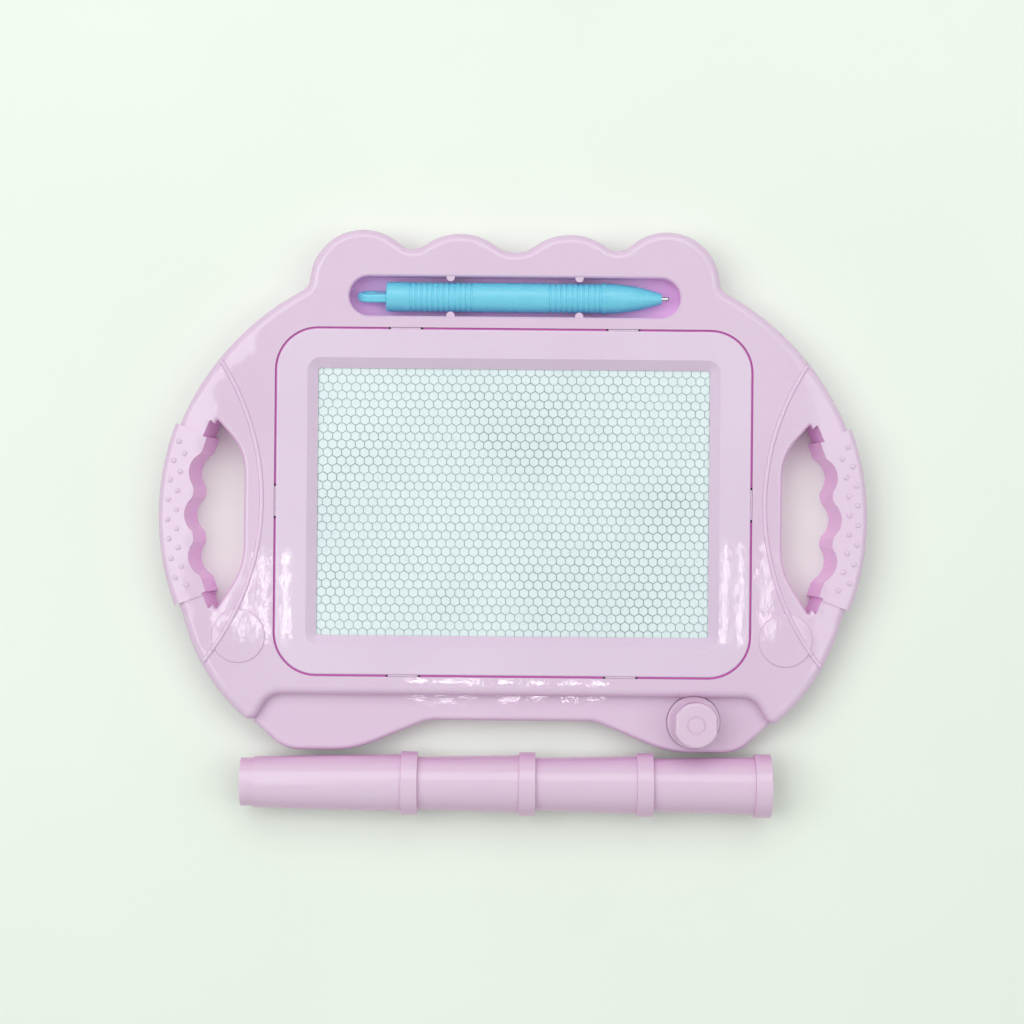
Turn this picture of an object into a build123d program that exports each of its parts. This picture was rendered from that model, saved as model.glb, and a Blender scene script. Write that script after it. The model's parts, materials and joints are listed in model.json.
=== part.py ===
from build123d import *
from math import asin, atan2, cos, degrees, radians, sin, sqrt
import os

# A child's magnetic drawing board, lying face up, with its pen, its stamp and its four legs.
# Millimetres. X runs across the board, Y up the drawing sheet, Z towards the viewer.
# The plan is drawn about the centre of the drawing sheet, and every piece is moved at the end
# so that the origin lies on the floor under the middle of the whole set.

# Overall sizes of the board. Inset values are measured in from its side, or from the opening's edge.
half_width = 159.8
face_height = 22.0
shelf_height = 15.0
wall = 2.2
top_round = 4.0
shelf_round = 2.5
overrun = 1.0
flat_limit = 0.0001

# Scalloped top edge: two big lobes outside, two middle lobes inside
big_lobe_share = 0.42866
big_lobe_rise = 20.0
big_lobe_radius_share = 0.15081352
middle_lobe_share = 0.15582
middle_lobe_rise = 15.9
middle_lobe_radius_share = 0.16708385
valley_radius = 9.0
centre_valley_radius = 15.0
shoulder_valley_radius = 6.0
shoulder_start_x_share = 0.72
shoulder_start_y_share = 0.05

# Sides: the shoulder arc, the carrying handle's bar and the arc below it
shoulder_mid_inset = 32.2
shoulder_mid_end_inset = 8.3
grip_centre_y = -6.4
grip_outer_radius = 117.5
grip_proud = 2.0
bar_half_share = 0.57108
bar_blend_radius = 40.0
lower_mid_inset = 22.5
lower_mid_end_inset = 0.2
corner_inset = 42.6
corner_drop = 21.9

# Rail above the shelf, and how it turns down to the corner at its ends
rail_drop = 8.4
rail_end_inset = 55.4
rail_turn_inset = 48.2
rail_turn_drop = 12.5

# Front shelf with its two lobes
shelf_front_drop = 20.0
shelf_lobe_drop = 33.8
shelf_slope_inset = 122.0
shelf_lobe_inner_inset = 88.5
shelf_lobe_outer_inset = 56.9
shelf_slope_radius = 19.0
shelf_lobe_inner_radius = 50.0
shelf_lobe_outer_radius = 18.0
shelf_tuck = 6.6
shelf_corner_x_inset = 0.8
shelf_corner_y_inset = 0.5
shelf_inside_inset = 39.0
shelf_inside_drop = 13.8

# Grip sleeve with three finger grooves, and the hand hole beside it
grip_width = 18.6
grip_half_share = 0.52286
grip_rise = 0.8
grip_round = 3.4
groove_depth = 3.6
groove_chord_share = 0.1847
groove_pitch_share = 0.4909
ridge_radius_share = 0.10936
hole_inner_inset = 38.7
hole_half_share = 0.54589
hole_top_turn_share = 0.36272
hole_bottom_turn_share = 0.29596
hole_top_radius = 24.0
hole_bottom_radius = 34.0
hole_corner_radius = 0.6
hole_edge_round = 1.8
handle_lean = 3.0

# Small pips on each grip: two staggered columns that follow the grip
pip_radius = 1.0
pip_rise = 0.5
pip_pitch_share = 0.10596
pip_row_count = 16
pip_column_share = 0.345
pip_spread_share = 0.105

# Raised half-round bead beside each handle, and the disc over each lower leg socket
bead_centre_reach = 68.4
bead_radius = 115.0
bead_half_width = 1.1
bead_rise = 0.8
bead_inset = 1.8
disc_radius = 12.1
disc_rise = 0.7
disc_round = 0.6

# Opening for the drawing sheet, and the ledge on which the sheet lies. A rise is measured up from the
# opening's upper edge, and a drop down from its lower edge.
opening_side_inset = 52.1
opening_half_y = 78.7
opening_corner_radius = 19.5
ledge_depth = 5.9
ledge_thickness = 2.0
ledge_side_inset = 18.2
ledge_end_inset = 17.4
ledge_corner_radius = 3.0

# Drawing sheet: two films with the honeycomb between them
film_thickness = 0.4
core_thickness = 1.6
sheet_margin = 3.2

# Bezel with six snap tabs
bezel_gap = 0.8
bezel_wall = 1.8
bezel_plate = 2.0
bezel_round = 0.8
window_side_overlap = 1.1
window_end_overlap = 1.0
window_slope_run = 4.6
window_corner_radius = 1.4
sheet_frame_wall = 1.3
sheet_side_gap = 0.4
tab_width = 13.5
tab_share = 0.45497
tab_drop = 0.8
tab_gap = 0.1
hook_reach = 0.9
hook_height = 1.2
hook_lift = 1.1
hook_gap = 0.4
relief_width = 1.3

# Pen trough with four nubs that hold the pen
trough_rise = 14.1
trough_side_inset = 85.2
trough_half_width = 9.0
trough_depth = 12.7
trough_floor = 1.5
trough_edge_round = 0.7
nub_share = 0.38874
nub_radius = 1.85
nub_height = 5.0
nub_drop = 0.6

# Pen
pen_radius = 6.7
pen_side_gap = 0.12
rest_gap = 0.3
pen_rear_gap = 16.5
pen_front_gap = 33.4
pen_wall = 1.5
pen_end_wall = 2.5
pen_ring_rise = 0.3
pen_ring_width = 1.8
pen_rear_round = 0.8
pen_groove_pitch = 2.5
pen_groove_radius = 0.6
pen_groove_depth = 0.35
rear_groove_start = 11.1
rear_groove_count = 12
front_groove_start = 25.2
front_groove_count = 10
nose_length = 25.1
nose_end_radius = 2.3
nose_plug_length = 8.0
fit_gap = 0.05
tip_radius = 0.97
tip_reach = 3.4
tip_length = 9.0
tip_round = 0.78
pen_magnet_radius = 2.5
pen_magnet_length = 12.0
loop_length = 12.9
loop_thickness = 4.0
loop_half_height = 5.6
loop_hole_radius = 2.9
loop_turn = 14.0
loop_round = 1.2

# Stamp and its seat on the shelf
stamp_inset = 77.3
stamp_drop = 19.8
stamp_foot_radius = 12.0
stamp_foot_height = 3.0
stamp_foot_round = 0.7
stamp_seat_gap = 0.3
stamp_seat_depth = 0.7
stamp_neck_radius = 7.4
stamp_neck_height = 8.0
stamp_knob_radius = 10.2
stamp_knob_flat = 9.4
stamp_knob_height = 9.6
stamp_knob_round = 1.3
stamp_knob_low_round = 0.8
stamp_dimple_radius = 4.2
stamp_dimple_width = 0.7
stamp_dimple_depth = 0.4
stamp_peg_radius = 3.0
stamp_magnet_radius = 9.0
stamp_magnet_thickness = 1.5
stamp_plate = 1.4

# Back cover with leg sockets, eraser slot and eraser rails
cover_recess = 5.0
cover_thickness = 2.0
cover_gap = 0.3
socket_radius = 11.0
socket_depth = 8.0
socket_wall = 2.0
eraser_rail_end_inset = 33.7
eraser_rail_width = 2.0

# Screws, and the posts that they go into
post_radius = 3.5
screw_radius = 1.4
screw_length = 7.0
screw_head_radius = 2.9
screw_head_height = 1.8
screw_head_round = 0.9
screw_cross_width = 0.8
screw_cross_length = 3.4
screw_cross_depth = 0.9
screw_clearance = 0.2
post_lobe_rise = 32.5
post_outer_inset = 78.7
post_outer_rise = 21.3
post_shoulder_inset = 50.8
post_shoulder_end_inset = 5.7
post_low_inset = 46.8
post_low_drop = 1.3
post_shelf_inset = 103.8
post_shelf_drop = 18.3

# Eraser that slides behind the sheet
eraser_width = 14.0
eraser_thickness = 4.2
eraser_corner_radius = 3.5
eraser_end_gap = 1.6
eraser_gap = 0.3
eraser_travel_margin = 1.6
stem_length = 8.0
stem_width = 6.0
stem_gap = 0.4
slot_corner_radius = 1.0
knob_length = 22.0
knob_width = 15.0
knob_height = 3.4
knob_corner_radius = 3.8
knob_round = 1.2
knob_socket_depth = 1.6
magnet_strip_width = 8.0
magnet_strip_thickness = 1.8
magnet_end_margin = 4.0

# Legs: four alike, nested end to end in front of the board
leg_count = 4
leg_length = 80.0
leg_pitch = 53.2
leg_stack_middle_x = -2.2
leg_stack_gap = 0.3
leg_spigot_radius = 10.9
leg_spigot_length = 5.8
leg_narrow_radius = 11.5
leg_wide_radius = 13.05
leg_collar_radius = 14.4
leg_collar_width = 7.5
leg_edge_round = 0.4
leg_bore_end_radius = 9.6
leg_bore_end_length = 14.0
leg_nest_gap = 0.06


def polar(centre, radius, angle):
    """A point at an angle in degrees on a circle about a centre."""
    return (centre[0] + radius * cos(radians(angle)), centre[1] + radius * sin(radians(angle)))


def prism(plan, bottom, top):
    """A vertical solid over a plan, between two heights."""
    return Pos(0, 0, bottom) * extrude(plan, top - bottom)


def top_face(solid):
    """The highest flat face of a solid."""
    return solid.faces().filter_by(GeomType.PLANE).sort_by(Axis.Z)[-1]


def leaning(plan, bottom, top):
    """A solid over a plan on the right that leans outwards as it rises, as the handle's inner wall does."""
    slope = handle_lean / face_height
    way = Vector(slope, 0, 1) * (top - bottom)
    return Pos(slope * bottom, 0, bottom) * extrude(plan, amount=way.length, dir=way.normalized())


def rounded_prism(plan, bottom, top, radius):
    """A vertical solid whose upper edges are rounded."""
    solid = prism(plan, bottom, top)
    return fillet(top_face(solid).edges(), radius)


def both_sides(shape):
    """A shape of the right-hand side together with its mirror image."""
    return shape + mirror(shape, about=Plane.YZ)


def mirrored_face(edges):
    """The face between a right-hand run of edges and its mirror image."""
    return make_face(edges + [mirror(edge, about=Plane.YZ) for edge in edges])


def rounded_rectangle(half_x, half_y, radius):
    """A rounded rectangle about the sheet's centre."""
    return RectangleRounded(2 * half_x, 2 * half_y, radius)


def grown(plan, amount):
    """A plan grown, or shrunk when the amount is negative, with each edge drawn afresh as a line or an arc."""
    edges = []
    for edge in offset(plan, amount).faces()[0].outer_wire().edges():
        start, middle, end = edge @ 0, edge @ 0.5, edge @ 1
        if (middle - (start + end) / 2).length < flat_limit:
            edges.append(Line(start, end))
        else:
            edges.append(ThreePointArc(start, middle, end))
    return make_face(edges)


def cylinder(x, y, radius, bottom, top):
    """An upright cylinder between two heights."""
    return Pos(x, y, bottom) * Cylinder(radius, top - bottom, align=(Align.CENTER, Align.CENTER, Align.MIN))


def box(x, y, bottom, size_x, size_y, size_z):
    """A box centred on a point of the plan, standing on a height."""
    return Pos(x, y, bottom) * Box(size_x, size_y, size_z, align=(Align.CENTER, Align.CENTER, Align.MIN))


# Places across the board, which all follow its half width
big_lobe_x = big_lobe_share * half_width
big_lobe_radius = big_lobe_radius_share * half_width
middle_lobe_x = middle_lobe_share * half_width
middle_lobe_radius = middle_lobe_radius_share * half_width
shoulder_mid_x = half_width - shoulder_mid_inset
lower_mid_x = half_width - lower_mid_inset
corner_x = half_width - corner_inset
rail_end_x = half_width - rail_end_inset
rail_turn_x = half_width - rail_turn_inset
shelf_slope_x = half_width - shelf_slope_inset
shelf_lobe_inner_x = half_width - shelf_lobe_inner_inset
shelf_lobe_outer_x = half_width - shelf_lobe_outer_inset
hole_inner_x = half_width - hole_inner_inset
bead_centre_x = half_width + bead_centre_reach
opening_half_x = half_width - opening_side_inset
ledge_half_x = opening_half_x - ledge_side_inset
ledge_half_y = opening_half_y - ledge_end_inset
window_half_x = ledge_half_x - window_side_overlap
window_half_y = ledge_half_y - window_end_overlap
tab_x = tab_share * opening_half_x
trough_half_length = half_width - trough_side_inset
nub_x = nub_share * trough_half_length
pen_rear_x = pen_rear_gap - trough_half_length
pen_front_x = trough_half_length - pen_front_gap
rear_groove_x = pen_rear_x + rear_groove_start
front_groove_x = pen_front_x - front_groove_start
stamp_x = half_width - stamp_inset
post_outer_x = half_width - post_outer_inset
post_shoulder_x = half_width - post_shoulder_inset
post_low_x = half_width - post_low_inset
post_shelf_x = half_width - post_shelf_inset

# Places up the board, which all follow the opening's half height
big_lobe_y = opening_half_y + big_lobe_rise
middle_lobe_y = opening_half_y + middle_lobe_rise
trough_y = opening_half_y + trough_rise
post_lobe_y = opening_half_y + post_lobe_rise
post_outer_y = opening_half_y + post_outer_rise
post_shoulder_y = opening_half_y - post_shoulder_end_inset
shoulder_mid_y = opening_half_y - shoulder_mid_end_inset
eraser_rail_y = opening_half_y - eraser_rail_end_inset
lower_mid_y = lower_mid_end_inset - opening_half_y
post_low_y = -opening_half_y - post_low_drop
rail_y = -opening_half_y - rail_drop
rail_turn_y = -opening_half_y - rail_turn_drop
shelf_inside_y = -opening_half_y - shelf_inside_drop
post_shelf_y = -opening_half_y - post_shelf_drop
stamp_y = -opening_half_y - stamp_drop
shelf_front_y = -opening_half_y - shelf_front_drop
corner_y = -opening_half_y - corner_drop
shelf_lobe_y = -opening_half_y - shelf_lobe_drop

# The handle's arcs share one centre on each side
grip_centre = (half_width - grip_outer_radius, grip_centre_y)
grip_inner_radius = grip_outer_radius - grip_width
bar_outer_radius = grip_outer_radius - grip_proud
bar_inner_radius = grip_inner_radius + grip_proud
bar_half_angle = degrees(asin(bar_half_share * opening_half_y / bar_outer_radius))
grip_half_length = grip_half_share * opening_half_y
grip_half_angle = degrees(asin(grip_half_length / grip_outer_radius))
hole_half_angle = degrees(asin(hole_half_share * opening_half_y / bar_inner_radius))
hole_top = polar(grip_centre, bar_inner_radius, hole_half_angle)
hole_bottom = polar(grip_centre, bar_inner_radius, -hole_half_angle)
hole_top_turn_y = grip_centre_y + hole_top_turn_share * opening_half_y
hole_bottom_turn_y = grip_centre_y - hole_bottom_turn_share * opening_half_y

# Each leg socket fits in beside the opening's wall
socket_reach = socket_radius + socket_wall + cover_gap + wall
socket_x = opening_half_x + socket_reach


def socket_step(hole_end, turn_y):
    """How far past an end of the hand hole a leg socket clears the wall round the hole."""
    side_step = hole_end[0] - socket_x
    lean = atan2(abs(hole_end[1] - turn_y), hole_end[0] - hole_inner_x)
    if side_step < socket_reach * sin(lean):
        return sqrt(socket_reach ** 2 - side_step ** 2)
    return (socket_reach - side_step * sin(lean)) / cos(lean)


upper_socket_y = hole_top[1] + socket_step(hole_top, hole_top_turn_y)
lower_socket_y = hole_bottom[1] - socket_step(hole_bottom, hole_bottom_turn_y)

# Heights and half sizes that several pieces share
seat_height = face_height - ledge_depth
sheet_top = seat_height + 2 * film_thickness + core_thickness
sheet_half_x = ledge_half_x + sheet_margin
sheet_half_y = ledge_half_y + sheet_margin
cover_top = cover_recess + cover_thickness
trough_bottom = face_height - trough_depth
pen_height = trough_bottom + rest_gap + pen_radius
screw_tip_height = cover_recess + screw_length
stamp_seat_radius = stamp_foot_radius + stamp_seat_gap
stamp_seat_height = shelf_height - stamp_seat_depth
stamp_bottom = stamp_seat_height + rest_gap
stamp_foot_top = stamp_bottom + stamp_foot_height
stamp_plate_bottom = stamp_foot_top - stamp_plate
leg_y = shelf_lobe_y - leg_stack_gap - leg_collar_radius
leg_stack_length = leg_length + (leg_count - 1) * leg_pitch
leg_stack_left_x = leg_stack_middle_x - leg_stack_length / 2


def side_edges():
    """The right-hand outline from the big lobe down past the handle to the lower corner."""
    start = (big_lobe_x + shoulder_start_x_share * big_lobe_radius,
             big_lobe_y + shoulder_start_y_share * big_lobe_radius)
    bar_top = polar(grip_centre, bar_outer_radius, bar_half_angle)
    bar_middle = polar(grip_centre, bar_outer_radius, 0)
    bar_bottom = polar(grip_centre, bar_outer_radius, -bar_half_angle)
    return [Line((0, start[1]), start),
            ThreePointArc(start, (shoulder_mid_x, shoulder_mid_y), bar_top),
            ThreePointArc(bar_top, bar_middle, bar_bottom),
            ThreePointArc(bar_bottom, (lower_mid_x, lower_mid_y), (corner_x, corner_y))]


def rail_edges():
    """The right-hand lower edge of the raised face, from the corner to the centre line."""
    turn = (rail_turn_x, rail_turn_y)
    rail_end = (rail_end_x, rail_y)
    return [Line((corner_x, corner_y), turn),
            TangentArc(rail_end, turn, tangent=(1, 0)),
            Line(rail_end, (0, rail_y))]


def lobe(x, y, radius):
    """One lobe of the top edge, whose seam lies inside the board."""
    return Pos(x, y) * Rot(0, 0, -90) * Circle(radius)


def round_nearest(plan, point, radius):
    """Round the corner of a plan that lies nearest to a point."""
    return fillet(plan.vertices().sort_by_distance(Vector(*point))[0], radius)


def face_plan():
    """The plan of the raised face, without the grip sleeves."""
    plan = mirrored_face(side_edges() + rail_edges())
    for side in (-1, 1):
        plan += lobe(side * middle_lobe_x, middle_lobe_y, middle_lobe_radius)
        plan += lobe(side * big_lobe_x, big_lobe_y, big_lobe_radius)
    centre_dip = middle_lobe_y + sqrt(middle_lobe_radius ** 2 - middle_lobe_x ** 2)
    plan = round_nearest(plan, (0, centre_dip), centre_valley_radius)
    for side in (-1, 1):
        between = side * (middle_lobe_x + big_lobe_x) / 2
        plan = round_nearest(plan, (between, middle_lobe_y + middle_lobe_radius), valley_radius)
        junction = (side * (big_lobe_x + big_lobe_radius), big_lobe_y)
        plan = round_nearest(plan, junction, shoulder_valley_radius)
        for angle in (-bar_half_angle, bar_half_angle):
            bar_end = polar(grip_centre, bar_outer_radius, angle)
            plan = round_nearest(plan, (side * bar_end[0], bar_end[1]), bar_blend_radius)
    return plan


def shelf_plan():
    """The plan of the lower shelf, which reaches in under the raised face."""
    slope_top = (shelf_slope_x, shelf_front_y)
    lobe_inner = (shelf_lobe_inner_x, shelf_lobe_y)
    lobe_outer = (shelf_lobe_outer_x, shelf_lobe_y)
    corner = (corner_x - shelf_corner_x_inset, corner_y + shelf_corner_y_inset)
    inside = (half_width - shelf_inside_inset, shelf_inside_y)
    inner_y = rail_y + shelf_tuck
    front = FilletPolyline((0, shelf_front_y), slope_top, lobe_inner, lobe_outer, corner,
                           radius=[shelf_slope_radius, shelf_lobe_inner_radius, shelf_lobe_outer_radius])
    back = Polyline(corner, inside, (rail_end_x, inner_y), (0, inner_y))
    return mirrored_face(front.edges() + back.edges())


def hole_plan():
    """The hand hole on the right, bounded by the body and by the handle's bar."""
    middle = polar(grip_centre, bar_inner_radius, 0)
    body_side = FilletPolyline(hole_top, (hole_inner_x, hole_top_turn_y), (hole_inner_x, hole_bottom_turn_y),
                               hole_bottom, radius=[hole_top_radius, hole_bottom_radius])
    plan = make_face(body_side.edges() + [ThreePointArc(hole_bottom, middle, hole_top)])
    plan = round_nearest(plan, hole_top, hole_corner_radius)
    return round_nearest(plan, hole_bottom, hole_corner_radius)


def sleeve_plan():
    """The grip sleeve on the right, before its finger grooves are cut."""
    angles = (-grip_half_angle, 0, grip_half_angle)
    outer = [polar(grip_centre, grip_outer_radius, angle) for angle in angles]
    inner = [polar(grip_centre, grip_inner_radius, angle) for angle in angles]
    return make_face([ThreePointArc(*outer), Line(outer[2], inner[2]), ThreePointArc(*inner),
                      Line(inner[0], outer[0])])


def grip_plan():
    """The foot of the grip sleeve on the right, with its three finger grooves."""
    plan = sleeve_plan()
    groove_half_chord = groove_chord_share * grip_half_length
    groove_radius = (groove_half_chord ** 2 + groove_depth ** 2) / (2 * groove_depth)
    groove_reach = grip_inner_radius + groove_depth - groove_radius
    pitch_angle = degrees(groove_pitch_share * grip_half_length / grip_inner_radius)
    half_groove_angle = degrees(groove_half_chord / grip_inner_radius)
    ridges = []
    for step in (-1, 0, 1):
        angle = step * pitch_angle
        plan -= Pos(*polar(grip_centre, groove_reach, angle)) * Circle(groove_radius)
        for side in (-1, 1):
            ridges.append(polar(grip_centre, grip_inner_radius, angle + side * half_groove_angle))
    for ridge in ridges:
        plan = round_nearest(plan, ridge, ridge_radius_share * grip_half_length)
    return plan


def grip_sleeve():
    """The raised sleeve on the right, turned about the handle's centre, with its upper edges rounded."""
    top = face_height + grip_rise
    profile = Pos(grip_inner_radius + grip_width / 2, top / 2) * Rectangle(grip_width, top)
    profile = fillet(profile.vertices().sort_by(Axis.Y)[-2:], grip_round)
    sleeve = revolve(Plane.XZ * profile, Axis.Z, revolution_arc=2 * grip_half_angle)
    return Pos(*grip_centre) * Rot(0, 0, -grip_half_angle) * sleeve


def hand_plan():
    """The free space for the fingers on the right, at the handle's foot."""
    return hole_plan() + sleeve_plan() - grip_plan()


def trough_plan():
    """The round-ended outline of the pen trough."""
    return Pos(0, trough_y) * SlotOverall(2 * trough_half_length, 2 * trough_half_width)


def post_places():
    """The plan positions of the ten screw posts."""
    right = [(middle_lobe_x, post_lobe_y), (post_outer_x, post_outer_y), (post_shoulder_x, post_shoulder_y),
             (post_low_x, post_low_y), (post_shelf_x, post_shelf_y)]
    return right + [(-x, y) for x, y in right]


def socket_places():
    """The plan positions of the four leg sockets."""
    right = [(socket_x, upper_socket_y), (socket_x, lower_socket_y)]
    return right + [(-x, y) for x, y in right]


def tab_places():
    """Each snap tab's middle on the bezel's edge, and the direction that its hook points in."""
    half_x = opening_half_x - bezel_gap
    half_y = opening_half_y - bezel_gap
    top_and_bottom = [(x, side * half_y, 0, side) for x in (-tab_x, tab_x) for side in (-1, 1)]
    return top_and_bottom + [(side * half_x, 0, side, 0) for side in (-1, 1)]


def tab_block(place, start, reach, width, bottom, height):
    """A block at a snap tab, from one distance outside the bezel's edge to another."""
    x, y, along_x, along_y = place
    middle = (start + reach) / 2
    depth = reach - start
    size_x = depth if along_x else width
    size_y = depth if along_y else width
    return box(x + along_x * middle, y + along_y * middle, bottom, size_x, size_y, height)


def frame_hollow(face, shelf, hand, grip):
    """The space inside the moulded front, with room left for walls round the hole and the stamp seat."""
    inside = prism(grown(face + both_sides(grip), -wall), -overrun, face_height - wall)
    inside += prism(grown(face + shelf + both_sides(grip), -wall), -overrun, shelf_height - wall)
    rim = grown(hand, wall)
    inside -= both_sides(prism(rim, -overrun, face_height) + leaning(rim, -overrun, face_height))
    return inside - cylinder(stamp_x, stamp_y, stamp_seat_radius + wall, stamp_seat_height - wall, face_height)


def is_rail(edge):
    """Whether an upper edge of the face belongs to the rail above the shelf."""
    middle = edge @ 0.5
    return abs(middle.X) < corner_x and middle.Y < 0


def frame_blank(face, shelf, hand):
    """The solid outside of the moulded front, with its rounded edges and its hand holes."""
    blank = prism(face, 0, face_height)
    for on_rail in (False, True):
        edges = [edge for edge in top_face(blank).edges() if is_rail(edge) == on_rail]
        blank = fillet(edges, top_round)
    blank -= both_sides(prism(hole_plan(), -overrun, face_height + overrun))
    blank = fillet(top_face(blank).inner_wires().edges(), hole_edge_round)
    blank += rounded_prism(shelf, 0, shelf_height, shelf_round)
    blank += both_sides(grip_sleeve())
    top = face_height + grip_rise + overrun
    return blank - both_sides(prism(hand, -overrun, top) + leaning(hand, -overrun, top))


def face_beads(face):
    """The two raised beads, which stop short of the outer edge."""
    ring = Pos(bead_centre_x, 0, face_height - bead_half_width + bead_rise) * Torus(bead_radius, bead_half_width)
    inner_face = prism(grown(face, -bead_inset), face_height - wall / 2, face_height + overrun)
    return both_sides(ring & inner_face)


def face_discs():
    """The two shallow discs at the lower corners."""
    disc = cylinder(socket_x, lower_socket_y, disc_radius, face_height - wall / 2, face_height + disc_rise)
    return both_sides(fillet(top_face(disc).edges(), disc_round))


def grip_pips():
    """Small round pips in two staggered columns along each grip."""
    top = face_height + grip_rise
    column_radius = grip_outer_radius - pip_column_share * grip_width
    spread = pip_spread_share * grip_width
    pitch_angle = degrees(pip_pitch_share * grip_half_length / column_radius)
    pips = []
    for row in range(pip_row_count):
        side = 1 if row % 2 else -1
        angle = (row - (pip_row_count - 1) / 2) * pitch_angle
        x, y = polar(grip_centre, column_radius + side * spread, angle)
        pips.append(cylinder(x, y, pip_radius, top - wall / 2, top + pip_rise))
    return both_sides(Part() + pips)


def trough_cavity(trough):
    """The space of the pen trough, with a softened rim."""
    cavity = prism(trough, trough_bottom, face_height)
    rim = prism(grown(trough, trough_edge_round), face_height, face_height + overrun)
    slope = loft([Pos(0, 0, face_height - trough_edge_round) * trough,
                  Pos(0, 0, face_height) * grown(trough, trough_edge_round)])
    return cavity + slope + rim


def trough_nubs():
    """Four half-round nubs on the trough's long walls, which leave the pen just room to pass."""
    reach = pen_radius + pen_side_gap + nub_radius
    top = face_height - nub_drop
    nubs = [cylinder(x, trough_y + side * reach, nub_radius, top - nub_height, top)
            for x in (-nub_x, nub_x) for side in (-1, 1)]
    return Part() + nubs


def tab_windows():
    """Windows in the opening's wall for the hooks, and the deep slits at each tab's ends."""
    cuts = []
    hook_bottom = seat_height + hook_lift
    for place in tab_places():
        cuts.append(tab_block(place, 0, bezel_gap + wall + overrun, tab_width + 2 * hook_gap,
                              hook_bottom - hook_gap, hook_height + 2 * hook_gap))
        slits = tab_block(place, 0, bezel_gap, tab_width + 2 * relief_width,
                          seat_height - ledge_thickness - overrun, ledge_thickness + 2 * overrun)
        cuts.append(slits - tab_block(place, -overrun, bezel_gap + overrun, tab_width,
                                      seat_height - ledge_thickness - overrun, ledge_thickness + 2 * overrun))
    return Part() + cuts


def front_frame():
    """The moulded front: face, shelf, handles, trough, opening with its ledge, and screw posts."""
    face = face_plan()
    shelf = shelf_plan()
    hand = hand_plan()
    grip = grip_plan()
    opening = rounded_rectangle(opening_half_x, opening_half_y, opening_corner_radius)
    trough = trough_plan()
    frame = frame_blank(face, shelf, hand)
    frame -= frame_hollow(face, shelf, hand, grip)
    frame += face_beads(face)
    frame += face_discs()
    frame += grip_pips()
    frame += prism(grown(opening, wall), seat_height - ledge_thickness, face_height - wall / 2)
    frame += prism(grown(trough, wall), trough_bottom - trough_floor, face_height - wall / 2)
    for x, y in post_places():
        roof = shelf_height if y < rail_y else face_height
        frame += cylinder(x, y, post_radius, cover_top, roof - wall / 2)
        frame -= cylinder(x, y, screw_radius + fit_gap, cover_top - overrun, screw_tip_height + screw_clearance)
    frame -= prism(opening, seat_height, face_height + overrun)
    frame -= prism(rounded_rectangle(ledge_half_x, ledge_half_y, ledge_corner_radius), -overrun, face_height)
    frame -= trough_cavity(trough)
    frame += trough_nubs()
    frame -= cylinder(stamp_x, stamp_y, stamp_seat_radius, stamp_seat_height, face_height + overrun)
    return frame - tab_windows()


def sheet_layer(bottom, thickness):
    """One layer of the drawing sheet."""
    return box(0, 0, bottom, 2 * sheet_half_x, 2 * sheet_half_y, thickness)


def window_cut():
    """The bezel's window, which widens upwards."""
    lower = rounded_rectangle(window_half_x, window_half_y, window_corner_radius)
    upper = rounded_rectangle(window_half_x + window_slope_run, window_half_y + window_slope_run,
                              window_corner_radius + window_slope_run)
    slope = loft([Pos(0, 0, sheet_top) * lower, Pos(0, 0, face_height) * upper])
    return slope + prism(lower, seat_height - overrun, sheet_top) + prism(upper, face_height, face_height + overrun)


def bezel():
    """The ring round the sheet: a shallow channel with a sloped window and six hooked tabs."""
    half_x = opening_half_x - bezel_gap
    half_y = opening_half_y - bezel_gap
    corner = opening_corner_radius - bezel_gap
    ring = rounded_prism(rounded_rectangle(half_x, half_y, corner), seat_height, face_height, bezel_round)
    channel = prism(rounded_rectangle(half_x - bezel_wall, half_y - bezel_wall, corner - bezel_wall),
                    seat_height - overrun, face_height - bezel_plate)
    sheet_frame = box(0, 0, seat_height - overrun, 2 * (sheet_half_x + sheet_side_gap + sheet_frame_wall),
                      2 * (sheet_half_y + sheet_side_gap + sheet_frame_wall), face_height)
    ring -= channel - sheet_frame
    ring -= box(0, 0, seat_height - overrun, 2 * (sheet_half_x + sheet_side_gap),
                2 * (sheet_half_y + sheet_side_gap), sheet_top - seat_height + overrun)
    ring -= window_cut()
    for place in tab_places():
        tab_height = face_height - tab_drop - seat_height
        ring += tab_block(place, -bezel_wall / 2, bezel_gap - tab_gap, tab_width, seat_height, tab_height)
        ring += tab_block(place, 0, bezel_gap + hook_reach, tab_width, seat_height + hook_lift, hook_height)
    return ring


def cover_plan():
    """The back cover's outline, just inside the moulded front's walls."""
    grips = both_sides(grip_plan())
    outline = grown(face_plan() + shelf_plan() + grips, -wall - cover_gap)
    return outline - both_sides(grown(hand_plan(), wall + cover_gap))


def back_cover():
    """The back cover with leg sockets, eraser rails, eraser slot and screw holes."""
    travel = eraser_travel()
    cover = prism(cover_plan(), cover_recess, cover_top)
    rim = grown(hand_plan(), wall + cover_gap)
    cover -= both_sides(leaning(rim, cover_recess - overrun, cover_top + overrun))
    socket_roof = cover_recess + socket_depth
    for x, y in socket_places():
        cover += cylinder(x, y, socket_radius + socket_wall, cover_recess, socket_roof + socket_wall)
        cover -= cylinder(x, y, socket_radius, cover_recess - overrun, socket_roof)
    for side in (-1, 1):
        cover += box(0, side * eraser_rail_y, cover_top, 2 * ledge_half_x, eraser_rail_width,
                     eraser_bottom() - eraser_gap - cover_top)
    for x, y in post_places():
        cover -= cylinder(x, y, screw_radius + screw_clearance, cover_recess - overrun, cover_top + overrun)
    slot = rounded_rectangle(travel + stem_gap + stem_length / 2, stem_width / 2 + stem_gap, slot_corner_radius)
    return cover - prism(slot, cover_recess - overrun, cover_top + overrun)


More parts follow.
